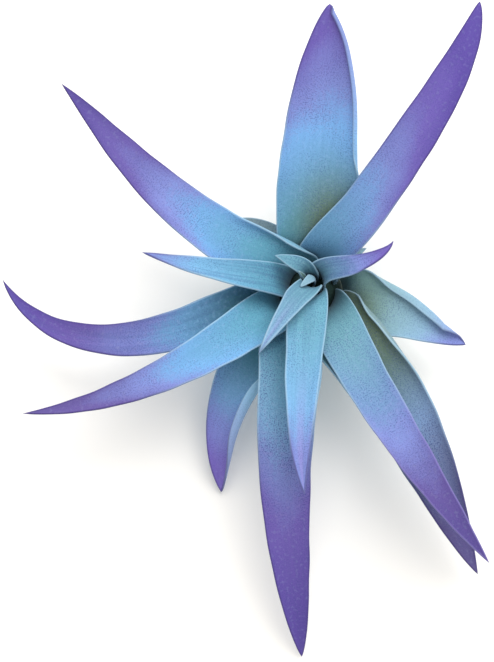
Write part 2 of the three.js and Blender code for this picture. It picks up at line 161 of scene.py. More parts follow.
# One dictionary for each leaf: its slot in the record, its shape in mm and degrees as its CAD solid has it,
# and its look, whose values stand explained at plainFelt. Left and right are seen looking outward.
leaves = {
    "heart_tongue": {
        "slot": "heart_leaf",
        "shape": {**heartLeaf, "tier": 0.1, "bearing": 44, "length": 18.6, "width": 3.6, "rise": 128,
                  "droop": 188, "flare": 14.4, "fullness": 3.5, "neck": 0.9, "wrapFrom": 9, "wrapOver": 4,
                  "bluntness": 0.6, "channel": 20},
        "look": {"base": "#6f97a8", "violetFrom": 1.5},
    },
    "heart_bud_left": {
        "slot": "heart_leaf",
        "shape": {**heartLeaf, "tier": 0.35, "bearing": 150, "length": 14, "width": 2.2, "rise": 76,
                  "droop": 50, "flare": 10, "neck": 0.65, "wrapFrom": 11, "wrapOver": 6, "bluntness": 0.6,
                  "ring": 0.6},
        "look": {"base": "#6f917f", "violetFrom": 1.6, "olive": 0.3},
    },
    "heart_bud_low": {
        "slot": "heart_leaf",
        "shape": {**heartLeaf, "tier": 0.2, "bearing": 300, "length": 6, "width": 2.2, "rise": 84,
                  "droop": 75, "neck": 0.95, "channel": 40},
        # a real bud, coloured dark as painted shade of the deep pit that it fills
        "look": {"base": "#3d5c5a", "violetFrom": 1.6},
    },
    "young_leaf_11": {
        "slot": "inner_leaf",
        "shape": {**youngLeaf, "tier": 1.4, "bearing": 127, "length": 22.3, "width": 8.3, "rise": 45,
                  "droop": -5, "flare": 12.5, "neck": 0.9, "sweepFrom": 8, "wrapFrom": 11,
                  "wrapOver": 8, "sweep": 39, "sweepPower": 0.6, "fullness": 2.4, "channel": 15,
                  "neckReach": 0.42, "ring": 0.5, "clasp": -0.45},
        "look": {"base": "#6397ab", "violetFrom": 1.3, "veins": 0.5},
    },
    "young_leaf_7": {
        "slot": "inner_leaf",
        "shape": {**youngLeaf, "tier": 2.5, "bearing": 236, "length": 43, "width": 10, "rise": 40,
                  "droop": -5, "neck": 0.92, "sweepFrom": 22, "wrapFrom": 11, "wrapOver": 10,
                  "sheathRise": 103, "sweep": 3, "neckReach": 0.26, "ring": 1.6, "clasp": 0.29},
        "look": {"base": "#6395a8", "middle": "#7da6c8", "violetFrom": 1.1, "veins": 0.6, "streak": 0.3},
    },
    "young_leaf_3": {
        "slot": "inner_leaf",
        "shape": {**youngLeaf, "tier": 3.55, "bearing": 14, "length": 37.5, "width": 10.2, "rise": 34,
                  "droop": 5, "neck": 1, "wrapFrom": 12, "sheathRise": 94, "sweep": 3, "hook": 48,
                  "channel": 25, "neckReach": 0.3, "ring": 0.3, "clasp": 0.45},
        "look": {"base": "#6093a8", "middle": "#6080ac", "violetFrom": 0.64, "veins": 0.6},
    },
    "inner_leaf_9": {
        "slot": "inner_leaf",
        "shape": {**plainLeaf, "tier": 5.3, "bearing": 178.8, "length": 60.5, "width": 12, "rise": 36,
                  "droop": -10, "sweep": -17, "flare": 15, "neck": 1.1},
        "look": {"base": "#5a97b0", "middle": "#73aad4", "violetFrom": 0.9, "veins": 0.7},
    },
    "inner_leaf_6": {
        "slot": "inner_leaf",
        "shape": {**plainLeaf, "tier": 4.5, "bearing": 264.4, "length": 78, "width": 13.6, "rise": 18,
                  "droop": -10, "sweep": 6.4, "flare": 13, "flarePower": 4, "sheathRise": 98,
                  "wrapFrom": 12, "wrapOver": 16, "neck": 1, "ring": 0.4, "clasp": 0.03,
                  "sweepPower": 1.25, "hook": 9.9, "fullness": 2.8},
        "look": {"base": "#659fb4", "middle": "#76aad8", "violetFrom": 0.83, "veins": 0.35, "streak": 0.45},
    },
    "long_leaf_10": {
        "slot": "outer_leaf",
        "shape": {**plainLeaf, "tier": 6.25, "bearing": 156.7, "length": 106.2, "width": 18.7,
                  "rise": 15, "droop": 6, "sweep": -34.4, "sweepPower": 0.8, "hook": 12.3,
                  "flare": 15.5, "neck": 1.18, "neckReach": 0.17, "fullness": 2.1, "channel": 20,
                  "foldRight": 3.4, "wrapFrom": 14, "wrapOver": 22, "clasp": -0.3, "foldTo": 42},
        "look": {"base": "#5b9ab2", "middle": "#6ea2d6", "violetFrom": 0.52, "slant": -0.04,
                 "violetEdge": 0.13, "violet": "#63559f", "tip": "#53448e"},
    },
    "long_leaf_1": {
        "slot": "outer_leaf",
        "shape": {**plainLeaf, "tier": 7.35, "bearing": 51, "length": 109.8, "width": 15.8, "rise": 35,
                  "droop": 6, "sweep": 12.5, "sweepPower": 1.5, "hook": 15.5, "flare": 18,
                  "fullness": 4, "neck": 1.2, "neckReach": 0.22, "clasp": 0.35, "bluntness": 0.75},
        "look": {"base": "#6ca2c9", "middle": "#769bd4", "violetFrom": 0.41, "slant": 0.12,
                 "violetEdge": 0.09},
    },
    "long_leaf_5": {
        "slot": "outer_leaf",
        "shape": {**plainLeaf, "tier": 7.85, "bearing": 297, "length": 110, "width": 16.5, "rise": 10,
                  "droop": -14, "sweep": 11.5, "flare": 18, "fullness": 2.4, "neck": 1.2,
                  "neckReach": 0.18, "channel": 24, "wrapFrom": 13, "clasp": 0.12},
        # darker violet and tip: painted shade for a leaf that points down, away from the sky
        "look": {"base": "#6a9eac", "middle": "#6c8fbb", "violetFrom": 0.53, "speckle": 1.2,
                 "violet": "#5d4e92", "tip": "#4f4085", "outerRim": "#8279ba"},
    },
    "long_leaf_8": {
        "slot": "outer_leaf",
        "shape": {**plainLeaf, "tier": 8.7, "bearing": 217.7, "length": 107.8, "width": 19, "rise": 12,
                  "droop": -16, "sweep": -36, "sweepPower": 1.3, "fullness": 1.35},
        # darker violet and tip: painted shade for a leaf that points down, away from the sky
        "look": {"base": "#5a9ab2", "middle": "#70a6da", "violetFrom": 0.6, "slant": -0.04,
                 "violetEdge": 0.1, "violet": "#635599", "tip": "#54447f"},
    },
    "broad_leaf_12": {
        "slot": "outer_leaf",
        "shape": {**plainLeaf, "tier": 8.15, "bearing": 85.4, "length": 93.2, "width": 30.6,
                  "rise": 25, "droop": 25, "sweep": -0.5, "fullness": 3.4, "bluntness": 0.75,
                  "neck": 0.8, "neckReach": 0.42, "channel": 40, "roll": -4, "openFrom": 20,
                  "openOver": 34, "foldRight": 1.6, "foldFrom": 36, "hook": 8},
        "look": {"base": "#5f97a5", "middle": "#76abe2", "violetFrom": 0.7, "slant": -0.04, "olive": 0.9,
                 "tip": "#6654aa", "under": "#93bce2"},
    },
    "broad_leaf_5": {
        "slot": "outer_leaf",
        "shape": {**plainLeaf, "tier": 9.6, "bearing": 305.5, "length": 112.5, "width": 28, "rise": 5,
                  "droop": -26, "sweep": -18, "hook": 12.5, "fullness": 2.1, "neck": 0.8,
                  "curlLeft": 30, "foldLeft": 3.2, "foldFrom": 12, "foldTo": 56},
        # darker periwinkle, violet and tip: painted shade for a leaf that points down, away from the sky
        "look": {"base": "#638f8f", "middle": "#7d9bc4", "violetFrom": 0.64, "olive": 0.75, "oliveSide": 1,
                 "speckle": 1.3, "periwinkle": "#6b789f", "violet": "#5b5288", "tip": "#4c4078"},
    },
    "long_leaf_6": {
        "slot": "outer_leaf",
        "shape": {**plainLeaf, "tier": 10.4, "bearing": 257.2, "length": 128.3, "width": 18.7,
                  "rise": 10, "droop": -38, "sweep": 26.8, "sweepPower": 0.73, "fullness": 3,
                  "hook": -6.4, "bluntness": 0.8, "neck": 1.25, "neckReach": 0.36, "clasp": -0.32},
        "look": {"base": "#61a3c0", "middle": "#709dc4", "violetFrom": 0.47, "olive": 0.2, "speckle": 1.5,
                 "periwinkle": "#6d78b4", "violet": "#63539f", "turnsOver": 0.14},
    },
    "short_leaf_4": {
        "slot": "outer_leaf",
        "shape": {**plainLeaf, "tier": 10.8, "bearing": 342, "length": 53.5, "width": 25, "rise": 8,
                  "droop": -16, "sweep": -13, "sweepFrom": 16, "hook": 8, "flare": 18, "fullness": 2.2,
                  "neck": 0.78, "channel": 40, "curlLeft": 30, "uncurl": 0.6, "foldLeft": 3,
                  "foldFrom": 14},
        "look": {"base": "#7ba09b", "middle": "#80a5c0", "violetFrom": 0.9, "olive": 0.75,
                 "paleRimTo": 0.8},
    },
    "curved_leaf_9": {
        "slot": "outer_leaf",
        "shape": {**plainLeaf, "tier": 9.4, "bearing": 202.2, "length": 114.4, "width": 17.3,
                  "rise": 4, "droop": -14, "sweep": -90.7, "sweepPower": 1.68, "fullness": 1.75,
                  "neck": 0.84, "hook": 7.5, "sweepFrom": 30, "neckReach": 0.13},
        # its dark base colour is painted shade where the leaf leaves the rosette
        "look": {"base": "#2f626c", "middle": "#6091bb", "violetFrom": 0.5, "slant": 0.02, "veins": 0.4,
                 "periwinkle": "#6b78b6", "violet": "#62529c"},
    },
    "rolled_leaf_7": {
        "slot": "outer_leaf",
        "shape": {**plainLeaf, "tier": 11.4, "bearing": 235, "length": 74, "width": 24.5, "rise": 3,
                  "droop": -37, "sweep": 37, "flare": 15, "fullness": 2.4, "neck": 0.75, "channel": 50,
                  "roll": 30, "curlLeft": 140, "curlFrom": 0.5, "uncurl": 0.5, "uncurlsFrom": 0.6,
                  "openOver": 14},
        "look": {"base": "#579499", "middle": "#719fca", "violetFrom": 0.66, "violet": "#7565b8",
                 "tip": "#6757b0", "under": "#a6cfe0"},
    },
    "under_leaf_10": {
        "slot": "under_leaf",
        "shape": {**plainLeaf, "tier": 9.4, "bearing": 124, "length": 36, "width": 14, "rise": 0,
                  "droop": -34, "sweep": 56, "sweepFrom": 4, "flare": 10, "fullness": 2},
        "look": {"base": "#6b8388", "middle": "#8496a0", "violetFrom": 1.2},
    },
    "under_leaf_2": {
        "slot": "under_leaf",
        "shape": {**plainLeaf, "tier": 9, "bearing": 37, "length": 17.5, "width": 7, "rise": 4,
                  "droop": -10, "sweepFrom": 8, "flare": 8, "fullness": 2.2, "neck": 1, "sweep": -12},
        "look": {"base": "#6a8b90", "middle": "#84a3ac", "violetFrom": 1.1},
    },
}


# Unit vectors along the midrib: outward, to its left, and up from the blade
def leafDirections(shape, s):
    upright = np.exp(-((s / shape["flare"]) ** shape["flarePower"]))
    bent = (s / shape["length"]) ** shape["droopPower"]
    bladeSlope = shape["rise"] + (shape["droop"] - shape["rise"]) * bent
    slope = np.radians(shape["sheathRise"] * upright + bladeSlope * (1 - upright))
    turned = np.clip((s - shape["sweepFrom"]) / (shape["length"] - shape["sweepFrom"]), 0, 1)
    turn = shape["sweep"] * turned ** shape["sweepPower"] + shape["hook"] * turned ** leafBuild["hookPower"]
    heading = np.radians(shape["bearing"] + turn)
    flat = np.zeros_like(heading)
    along = np.stack([np.cos(slope) * np.cos(heading), np.cos(slope) * np.sin(heading), np.sin(slope)], 1)
    left = np.stack([-np.sin(heading), np.cos(heading), flat], 1)
    return along, left, np.cross(along, left)


def tierHeight(tier):
    return stemTiers["firstHeight"] - stemTiers["drop"] * tier


# The midrib starts at the leaf's tier on the stem and is summed in fine steps
def leafMidrib(shape, s):
    fine = np.linspace(0, shape["length"], leafBuild["midribSteps"] + 1)
    along = leafDirections(shape, fine)[0]
    steps = (along[1:] + along[:-1]) / 2 * np.diff(fine)[:, None]
    radius = stemTiers["firstRadius"] + stemTiers["spacing"] * shape["tier"]
    bearing = math.radians(shape["bearing"])
    height = min(tierHeight(shape["tier"]), tierHeight(stemTiers["crown"]) + stemTiers["sheathGap"])
    seat = np.array([radius * math.cos(bearing), radius * math.sin(bearing), height])
    path = seat + np.vstack([np.zeros(3), np.cumsum(steps, 0)])
    return np.stack([np.interp(s, fine, path[:, axis]) for axis in range(3)], 1)


def leafHalfWidth(shape, share):
    neck = 1 - (1 - shape["neck"]) * np.exp(-((share / shape["neckReach"]) ** 2))
    taper = np.maximum(1 - share ** shape["fullness"], 0) ** shape["bluntness"]
    return np.maximum(shape["width"] / 2 * neck * taper, leafBuild["tipHalfWidth"])


# Share of the half width that is folded in on one side, where 1 is the left and -1 the right
def foldShare(shape, halfWidth, side):
    fold = shape["foldLeft"] if side > 0 else shape["foldRight"]
    return np.minimum(fold / halfWidth, leafBuild["widestFold"])[:, None]


# Columns of points across the blade, from right margin (-1) to left (1). They lie closer together in a
# folded margin and round each edge, where the blade's thickness falls away.
def leafColumns(shape, halfWidth):
    rounding = np.minimum(leafBuild["edgeThickness"] / 2 / halfWidth, leafBuild["widestRounding"])[:, None]
    coreEdge = 1 - rounding
    marks = np.linspace(0, 1, leafBuild["columns"] + 1)[None, :]
    foldMarks = np.linspace(0, 1, leafBuild["foldColumns"] + 1)[None, :]
    rightLine = np.minimum(1 - foldShare(shape, halfWidth, -1), coreEdge)
    leftLine = np.minimum(1 - foldShare(shape, halfWidth, 1), coreEdge)
    core = -rightLine + (rightLine + leftLine) * marks
    if shape["foldRight"]:
        core = np.hstack([(-coreEdge + (coreEdge - rightLine) * foldMarks)[:, :-1], core])
    if shape["foldLeft"]:
        core = np.hstack([core, (leftLine + (coreEdge - leftLine) * foldMarks)[:, 1:]])
    marginSteps = leafBuild["marginSteps"]
    turn = np.radians(90 * np.arange(1, marginSteps + 1) / marginSteps)[None, :]
    margin = coreEdge + rounding * np.sin(turn)
    across = np.hstack([-margin[:, ::-1], core, margin])
    fall = np.broadcast_to(np.cos(turn), margin.shape)
    return across, np.hstack([fall[:, ::-1], np.ones_like(core), fall]), coreEdge


# Cross-section of the open blade: how far each point lies sideways and upward from the midrib
def leafSection(shape, s, share, halfWidth, across):
    opened = ease((s - shape["openFrom"]) / shape["openOver"])
    uncurled = ease((share - shape["uncurlsFrom"]) / (1 - shape["uncurlsFrom"]))
    kept = 1 - shape["uncurl"] * uncurled
    leaned = ease((s - leafBuild["rollsFrom"]) / leafBuild["rollsOver"]) * kept
    steps = leafBuild["sectionSteps"]
    outward = (np.arange(steps) + 0.5)[None, :] / steps
    curled = np.clip((outward - shape["curlFrom"]) / (1 - shape["curlFrom"]), 0, 1)
    sideways = np.zeros_like(across)
    upward = np.zeros_like(across)
    marks = np.linspace(0, 1, steps + 1)
    for side, curlAngle in ((1, shape["curlLeft"]), (-1, shape["curlRight"])):
        curl = curlAngle * (opened * kept)[:, None] * curled
        bend = shape["channel"] * opened[:, None] * outward + curl
        tilt = np.radians(shape["roll"] * leaned[:, None] + side * bend)
        stepWidth = side * halfWidth[:, None] / steps
        lateral = np.hstack([np.zeros((len(s), 1)), np.cumsum(np.cos(tilt) * stepWidth, 1)])
        raised = np.hstack([np.zeros((len(s), 1)), np.cumsum(np.sin(tilt) * stepWidth, 1)])
        for row in range(len(s)):
            ours = across[row] * side > 0
            reach = np.abs(across[row][ours])
            sideways[row, ours] = np.interp(reach, marks, lateral[row])
            upward[row, ours] = np.interp(reach, marks, raised[row])
    return sideways, upward


# A slow, seeded wander along a leaf, between -1 and 1
def wander(s, wavelength, draw):
    waves = [(draw.uniform(0.7, 1.5), draw.uniform(0, 2 * math.pi)) for _ in range(leafBuild["waverWaves"])]
    total = sum(np.sin(2 * math.pi * s * pace / wavelength + start) for pace, start in waves)
    return total / len(waves)


# Rows along a leaf, and what each of them needs to place its points
def leafRows(shape, draw):
    rowCount = max(leafBuild["fewestRows"], round(shape["length"] * leafBuild["rowsPerMillimetre"]))
    share = np.linspace(0, 1, rowCount + 1) ** leafBuild["rowSpacing"]
    s = share * shape["length"]
    spine = leafMidrib(shape, s)
    along, left, up = leafDirections(shape, s)
    radius = np.hypot(spine[:, 0], spine[:, 1])
    free = ease((s - shape["wrapFrom"]) / shape["wrapOver"])
    stray = free * ease((1 - share) / leafBuild["steadyTip"]) * leafBuild["waver"]
    flatLength = leafBuild["waverLength"]
    raisedLength = flatLength * leafBuild["raisedRatio"]
    return {
        "share": share, "s": s, "spine": spine, "along": along, "left": left, "up": up, "radius": radius,
        "outward": np.stack([spine[:, 0] / radius, spine[:, 1] / radius, np.zeros_like(radius)], 1),
        "free": free[:, None],
        "halfWidth": leafHalfWidth(shape, share),
        "waver": {side: (stray * wander(s, flatLength, draw), stray * wander(s, raisedLength, draw))
                  for side in (1, -1)},
    }


# The unfolded leaf: part of a ring round the stem at its base, blade further out
def leafSheet(shape, rows, across):
    halfWidth, free = rows["halfWidth"], rows["free"]
    sideways, upward = leafSection(shape, rows["s"], rows["share"], halfWidth, across)
    # a grown leaf's margins are never quite even, and its tip stays where it is
    for side, (aside, raised) in rows["waver"].items():
        pull = np.clip(across * side, 0, 1) ** leafBuild["waverReach"]
        sideways += side * pull * aside[:, None]
        upward += pull * raised[:, None]
    ring = (rows["radius"] + shape["ring"])[:, None]
    ringAngle = halfWidth[:, None] * (across + shape["clasp"]) / ring
    leftward = (1 - free) * ring * np.sin(ringAngle) + free * sideways
    inward = -(1 - free) * ring * (1 - np.cos(ringAngle))
    return (rows["spine"][:, None, :] + leftward[..., None] * rows["left"][:, None, :]
            + inward[..., None] * rows["outward"][:, None, :]
            + (free * upward)[..., None] * rows["up"][:, None, :])


# Turns a margin in over the blade, beyond its fold line
def foldMargin(shape, rows, across, grid, side):
    fullWidth = shape["foldLeft"] if side > 0 else shape["foldRight"]
    folded = foldShare(shape, rows["halfWidth"], side)
    foldLine = 1 - folded
    nearby = leafSheet(shape, rows, side * np.hstack([foldLine, foldLine - leafBuild["foldProbe"]]))
    outward = nearby[:, 0] - nearby[:, 1]
    outward /= np.linalg.norm(outward, axis=1)[:, None]
    inward = side * np.cross(rows["along"], outward)
    width = folded[:, 0] * rows["halfWidth"]
    beyondStart = rows["s"] - shape["foldFrom"]
    opened = ease(beyondStart / (shape["foldTo"] - shape["foldFrom"]))
    grown = ease(beyondStart / leafBuild["foldOver"]) * (1 - opened) * width / fullWidth
    steps = leafBuild["sectionSteps"]
    middles = (np.arange(steps) + 0.5)[None, :] / steps
    tilt = np.radians(leafBuild["foldTurn"]) * grown[:, None] * (1 - (1 - middles) ** 2)
    marks = np.linspace(0, 1, steps + 1)
    start = np.zeros((len(width), 1))
    aside = np.hstack([start, np.cumsum(np.cos(tilt) - 1, 1) / steps])
    raised = np.hstack([start, np.cumsum(np.sin(tilt), 1) / steps])
    for row in range(len(width)):
        beyond = np.abs(across[row]) - foldLine[row]
        ours = (across[row] * side > 0) & (beyond > 0)
        reach = beyond[ours] / folded[row]
        grid[row, ours] += width[row] * (np.interp(reach, marks, aside[row])[:, None] * outward[row]
                                         + np.interp(reach, marks, raised[row])[:, None] * inward[row])


# The middle sheet of a leaf: its points, their normals and half thicknesses, and each one's place on it
def leafSurface(shape, draw):
    rows = leafRows(shape, draw)
    s, share, halfWidth = rows["s"], rows["share"], rows["halfWidth"]
    across, fall, coreEdge = leafColumns(shape, halfWidth)
    grid = leafSheet(shape, rows, across)
    for side, fold in ((1, shape["foldLeft"]), (-1, shape["foldRight"])):
        if fold:
            foldMargin(shape, rows, across, grid, side)
    rowWay = np.gradient(grid, axis=0)
    normal = np.cross(rowWay, np.gradient(grid, axis=1))
    normal /= np.linalg.norm(normal, axis=2, keepdims=True)
    # thickness: full along the middle, thin at the margins and toward the tip
    thickened = ease((s - leafBuild["thickensFrom"]) / leafBuild["thickensOver"])
    outer = (share - leafBuild["thinsFrom"]) / (1 - leafBuild["thinsFrom"])
    thinned = 1 - leafBuild["tipThinning"] * ease(outer)
    fleshy = leafBuild["bladeThickness"] - leafBuild["sheathThickness"]
    middle = ((leafBuild["sheathThickness"] + fleshy * thickened) * thinned)[:, None]
    inside = np.minimum(np.abs(across), coreEdge)
    edge = leafBuild["edgeThickness"]
    thickness = edge + (middle - edge) * (1 - inside ** leafBuild["edgeRounding"])
    most = (halfWidth * leafBuild["tipFullness"] + leafBuild["tipLeast"])[:, None]
    return {
        "grid": grid, "normal": normal, "half": np.minimum(thickness / 2, most) * fall,
        "s": s, "share": share, "across": across, "halfWidth": halfWidth[:, None],
    }


# Four-cornered faces between the rows of points, which are rings round the leaf, and over both ends
def leafFaces(rows, columns, ring):
    faces = []
    for row in range(rows - 1):
        here, beyond = row * ring, (row + 1) * ring
        for k in range(ring):
            after = (k + 1) % ring
            faces.append((here + k, beyond + k, beyond + after, here + after))
    for start, flipped in ((0, False), ((rows - 1) * ring, True)):
        for k in range(columns - 1):
            opposite, nextOpposite = (ring - k) % ring, ring - k - 1
            corners = [start + k, start + k + 1, start + nextOpposite, start + opposite]
            corners = list(dict.fromkeys(corners))
            faces.append(tuple(reversed(corners)) if flipped else tuple(corners))
    return faces


# Keeps a value for each point of a mesh, for its material to read
def storeValue(mesh, name, values):
    kind, field = ("FLOAT_VECTOR", "vector") if values.ndim == 3 else ("FLOAT", "value")
    attribute = mesh.attributes.new(name, kind, "POINT")
    attribute.data.foreach_set(field, np.ascontiguousarray(values, np.float32).ravel())


# One closed mesh: the upper face, then the under face without the two margins that they share
def makeLeaf(name, leaf, material, draw):
    surface = leafSurface(leaf["shape"], draw)
    grid, across = surface["grid"], surface["across"]
    rows, columns = across.shape
    offset = surface["normal"] * surface["half"][..., None]
    points = np.concatenate([grid + offset, (grid - offset)[:, -2:0:-1]], 1) * mm
    ring = points.shape[1]
    mesh = bpy.data.meshes.new(name)
    mesh.from_pydata(points.reshape(-1, 3).tolist(), [], leafFaces(rows, columns, ring))
    mesh.shade_smooth()
    mesh.materials.append(material)

    def bothFaces(values):
        return np.concatenate([values, values[:, -2:0:-1]], 1)

    def allRound(values):
        return np.broadcast_to(values[:, None], (rows, ring))

    underside = np.zeros((rows, ring))
    underside[:, columns:] = 1
    underside[:, [0, columns - 1]] = 0.5
    acrossMm = bothFaces(across * surface["halfWidth"])
    place = np.stack([acrossMm, allRound(surface["s"]), underside * leafBuild["faceApart"]], 2)
    storeValue(mesh, "alongLeaf", allRound(surface["share"]))
    storeValue(mesh, "acrossLeaf", bothFaces(across))
    storeValue(mesh, "fromEdge", bothFaces((1 - np.abs(across)) * surface["halfWidth"]))
    storeValue(mesh, "underLeaf", underside)
    storeValue(mesh, "leafPlace", place)
    return addObject(name, mesh)


# Adds a node. An input given as a socket is linked, and any other input is set.
def addNode(tree, kind, inputs=None, **settings):
    node = tree.nodes.new("ShaderNode" + kind)
    for setting, value in settings.items():
        setattr(node, setting, value)
    for socket, value in (inputs or {}).items():
        if isinstance(value, bpy.types.NodeSocket):
            tree.links.new(value, node.inputs[socket])
        else:
            node.inputs[socket].default_value = value
    return node


def newMaterial(name):
    material = bpy.data.materials.new(name)
    material.use_nodes = True
    material.node_tree.nodes.clear()
    return material, material.node_tree


def fillRamp(node, stops):
    ramp = node.color_ramp
    while len(ramp.elements) < len(stops):
        ramp.elements.new(0.5)
    for element, (position, colour) in zip(ramp.elements, stops):
        element.position = position
        element.color = colour


# The felt that all the leaves share. Sizes are in mm, and places along and across a leaf are shares of it.
feltLook = {
    "scaleSize": 0.46,  # real trichomes are 0.2 to 0.3 mm; drawn larger so that they show
    "clumpSize": 1.3,
    "patchSize": 10,
    "veinSpacing": 1.1,
    "veinStretch": 0.03,  # draws the veins out along the leaf

    # where the colours lie along the leaf
    "baseTo": 0.35,  # of violetFrom
    "middleAt": 0.78,  # of violetFrom
    "tipAfter": 0.42,  # beyond violetFrom
    "patchDrift": 0.1,  # how far each size of pattern moves the colours
    "clumpDrift": 0.12,
    "scaleDrift": 0.12,
    "driftBack": 0.19,  # what they move them by on average, taken off again

    # painted shade: deep teal inside the sheaths, deep in the rosette, which fades over a stretch in mm
    "shade": "#3c6266",
    "shadeDepth": 0.7,
    "shadeFrom": 3,
    "shadeTo": 18,

    # olive over one half near the base: partly the greener skin there, partly painted shade on that half
    "olive": "#5f6b45",
    "oliveFrom": 0.2,
    "oliveTo": 0.55,
    "oliveNone": -0.8,  # across the leaf, where 1 is the olive half's margin
    "oliveFull": 0.3,

    # a lilac streak down the middle of some leaves
    "streak": "#8f86c8",
    "streakCore": 0.1,
    "streakEdge": 0.5,
    "streakFrom": 0.4,
    "streakFull": 0.85,

    # skin that shows along the veins and as specks between the scales
    "skin": "#2f4578",
    "veinFrom": 0.42,
    "veinFull": 0.62,
    "veinDepth": 0.4,
    "speckFrom": 0.5,
    "speckFull": 0.62,
    "speckDepth": 0.38,
    "speckThinnest": 0.45,
    "speckThickest": 1.2,
    "speckFadesOver": 0.25,  # from violetFrom on
    "speckFaded": 0.45,

    # clumps of pale scales, and the lower side
    "dust": "#bcd2ea",
    "dustFrom": 0.5,
    "dustFull": 0.75,
    "dustDepth": 0.08,
    "underDepth": 0.38,

    # margins: pale toward the base, partly their own paler felt and partly a painted highlight along the
    # edge
    "paleMargin": "#9cbdd2",
    "rimFull": 0.15,
    "rimWidth": 0.55,
    "rimDepth": 0.55,
    "paleRimTo": 0.9,  # of violetFrom
    "rimTurns": 0.15,  # share of the length on each side over which it darkens

    # relief and gloss
    "veinHeight": 0.12,
    "veinStrength": 0.35,
    "scaleHeight": 0.16,
    "scaleStrength": 0.45,
    "smoothest": 0.64,  # roughness of the skin
    "roughest": 0.84,  # and of the scales
    "bloom": "#d4e2f6",  # what the felt gives back at grazing angles
}

# What a leaf's own look may change. Each also gives its base colour and violetFrom, the share of its length
# where blue has turned periwinkle. Far beyond the tip it leaves the whole leaf in its base colour.
plainFelt = {
    "middle": "#73aad4",
    "periwinkle": "#7a86c8",
    "violet": "#6a5aac",
    "tip": "#58469a",
    "turnsOver": 0.2,  # in how much more of the length the violet is full
    "slant": 0,  # takes the colours' borders further out on the left
    "violetEdge": 0.06,  # brings them in at both margins
    "under": "#8fb3c6",  # mixed into the lower side
    "outerRim": "#3d2f6c",  # on the margins beyond their pale part
    "paleRimTo": 0,  # share of the length that keeps pale margins at least
    "olive": 0,
    "oliveSide": -1,  # 1 for an olive left half, -1 for a right one
    "speckle": 1,
    "veins": 0.15,
    "streak": 0,
}
